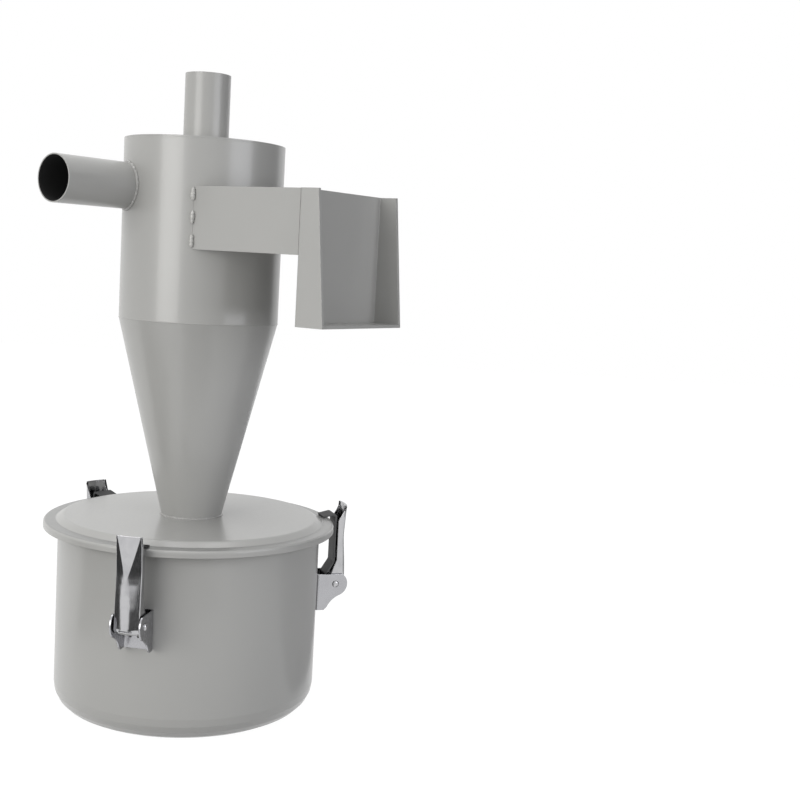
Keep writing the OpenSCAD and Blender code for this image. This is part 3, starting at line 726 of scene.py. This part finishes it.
def makeLever(letter, spec):
    joint = next(joint for joint in frame["joints"] if joint["name"] == "lever_%s_swing" % letter)
    pivot = Vector(joint["pos_m"])
    outward = Vector((pivot.x, pivot.y, 0)).normalized()
    aside = Vector((-outward.y, outward.x, 0))

    def put(point):
        return pivot + outward * point[0] + aside * point[1] + Vector((0, 0, point[2]))

    path = filletPath(spec["front"], spec["frontBends"])
    rows, heights = leverFace(spec, path)
    low, high, wide = spec["slot"]
    build = bmesh.new()
    grid = [[build.verts.new(put(point)) for point in row] for row in rows]
    firstCrease = spec["cornerSteps"] + 1 + spec["sides"]
    creases = [firstCrease + step for step in (0, spec["middle"] // 2, spec["middle"])]
    for i in range(len(grid) - 1):
        for j in range(len(grid[0]) - 1):
            middle = (rows[i][j][1] + rows[i + 1][j + 1][1]) / spec["width"]
            if low < (heights[i] + heights[i + 1]) / 2 < high and abs(middle) < wide:
                continue
            build.faces.new((grid[i][j], grid[i][j + 1], grid[i + 1][j + 1], grid[i + 1][j]))
        if heights[i] > spec["top"] - spec["vee"]:
            for j in creases:
                build.edges.get((grid[i][j], grid[i + 1][j])).smooth = False
    outline = cheekOutline(spec, path)
    for side in (-1, 1):
        ring = [build.verts.new(put((point.x, side * spec["width"] / 2, point.y))) for point in outline]
        build.faces.new(ring if side < 0 else ring[::-1])
    bmesh.ops.remove_doubles(build, verts=build.verts, dist=spec["mergeWithin"])
    piece = settle("pressedLever_" + letter, build, spec)
    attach(piece, "lever_" + letter)
    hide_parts("latch_%s_lever" % letter)


for letter in "abc":
    makeLever(letter, lever)
print("levers pressed")


# Studio: a white floor that keeps a soft shadow, and a white surround whose light is dimmer on the right. The barrel
# shows the long reflections of two tall lamps. Grey and black cards, which the camera does not see, darken the rest.
studio = {
    "floorSize": 9.0, "floorGlow": 0.82, "glowStrength": 1.19, "floorColour": (0.43, 0.43, 0.43, 1),
    "floorRoughness": 0.9, "cardRoughness": 1.0,
    "worldLight": (0.74, 0.19), "worldFade": 0.8, "brightSide": (-0.9, -0.3, 0.3),
    "lamps": {
        "leftTall": {"place": (-0.98, -1.34, 0.62), "aim": (0, 0, 0.45), "size": (0.95, 0.86), "power": 12.0,
                     "colour": (1.0, 0.99, 0.97)},
        "rightTall": {"place": (1.40, -0.78, 0.62), "aim": (0, 0, 0.45), "size": (1.00, 0.80), "power": 8.5,
                      "colour": (0.94, 0.95, 1.0)},
        "topBox": {"place": (-0.3, 0.1, 1.9), "aim": (0, 0, 0), "size": (1.3, 1.3), "power": 12.5,
                   "colour": (1.0, 1.0, 1.0)},
    },
    "cards": {
        "frontCard": {"corners": [(-0.16, -1.35, 0.002), (0.36, -1.35, 0.002), (0.36, -0.5, 0.002),
                                  (-0.16, -0.5, 0.002)],
                      "colour": (0.015, 0.015, 0.015, 1), "blocksLight": False},
        "leftCard": {"corners": [(-1.3, -0.48, 0.002), (-0.38, -0.48, 0.002), (-0.38, -0.05, 0.002),
                                 (-1.3, -0.05, 0.002)],
                     "colour": (0.015, 0.015, 0.015, 1), "blocksLight": False},
        "rightFloorCard": {"corners": [(0.19, -0.02, 0.002), (1.2, -0.02, 0.002), (1.2, 1.3, 0.002),
                                       (0.19, 1.3, 0.002)],
                           "colour": (0.5, 0.5, 0.5, 1), "blocksLight": False},
        "rightCard": {"corners": [(1.25, -0.30, 0.05), (0.95, 0.95, 0.05), (0.95, 0.95, 1.1), (1.25, -0.30, 1.1)],
                      "colour": (0.02, 0.02, 0.02, 1), "blocksLight": True},
    },
}


# 1 for rays that see the white surround, 0 for those that only carry its light
def whereSeen(tree):
    light = tree.nodes.new("ShaderNodeLightPath").outputs
    seen = compute(tree, "MAXIMUM", light["Is Camera Ray"], light["Is Glossy Ray"])
    return compute(tree, "MAXIMUM", seen, light["Is Transmission Ray"])


def flatSheet(name, corners):
    mesh = bpy.data.meshes.new(name)
    mesh.from_pydata(corners, [], [(0, 1, 2, 3)])
    sheet = addObject(name, mesh)
    return sheet


def makeFloor(spec):
    half = spec["floorSize"] / 2
    floor = flatSheet("floor", [(-half, -half, 0), (half, -half, 0), (half, half, 0), (-half, half, 0)])
    material, tree, shader = newMaterial("floorPaper")
    shader.inputs["Base Color"].default_value = spec["floorColour"]
    shader.inputs["Roughness"].default_value = spec["floorRoughness"]
    glow = addNode(tree, "ShaderNodeEmission", ("Color", (1, 1, 1, 1)), ("Strength", spec["glowStrength"]))
    share = compute(tree, "MULTIPLY", whereSeen(tree), spec["floorGlow"])
    mix = addNode(tree, "ShaderNodeMixShader", (0, share), (1, shader.outputs[0]), (2, glow.outputs[0]))
    tree.links.new(mix.outputs[0], tree.nodes["Material Output"].inputs["Surface"])
    floor.data.materials.append(material)


def makeCards(spec):
    for name, one in spec["cards"].items():
        card = flatSheet(name, one["corners"])
        material, tree, shader = newMaterial(name)
        shader.inputs["Base Color"].default_value = one["colour"]
        shader.inputs["Roughness"].default_value = spec["cardRoughness"]
        card.data.materials.append(material)
        card.visible_camera = card.visible_shadow = False
        card.visible_diffuse = one["blocksLight"]


def makeWorld(spec):
    world = bpy.data.worlds.new("studio")
    world.use_nodes = True
    tree = world.node_tree
    plain = tree.nodes["Background"]
    place = addNode(tree, "ShaderNodeTexCoord").outputs["Generated"]
    toward = vectorMath(tree, "DOT_PRODUCT", place, spec["brightSide"])
    bright, dim = spec["worldLight"]
    strength = mapRange(tree, toward, -spec["worldFade"], spec["worldFade"], dim, bright)
    tree.links.new(strength, plain.inputs["Strength"])
    plain.inputs["Color"].default_value = (1, 1, 1, 1)
    white = addNode(tree, "ShaderNodeBackground", ("Color", (1, 1, 1, 1)), ("Strength", 1.0))
    mix = addNode(tree, "ShaderNodeMixShader", (0, whereSeen(tree)), (1, plain.outputs[0]), (2, white.outputs[0]))
    tree.links.new(mix.outputs[0], tree.nodes["World Output"].inputs["Surface"])
    bpy.context.scene.world = world


def makeLamps(spec):
    for name, lamp in spec["lamps"].items():
        data = bpy.data.lights.new(name, "AREA")
        data.shape, data.energy, data.color = "RECTANGLE", lamp["power"], lamp["colour"]
        data.size, data.size_y = lamp["size"]
        place = Vector(lamp["place"])
        turn = (Vector(lamp["aim"]) - place).to_track_quat("-Z", "Y").to_matrix().to_4x4()
        addObject(name, data).matrix_world = Matrix.Translation(place) @ turn


makeFloor(studio)
makeCards(studio)
makeWorld(studio)
makeLamps(studio)
bpy.context.scene.view_settings.view_transform = "Standard"
print("studio lit")
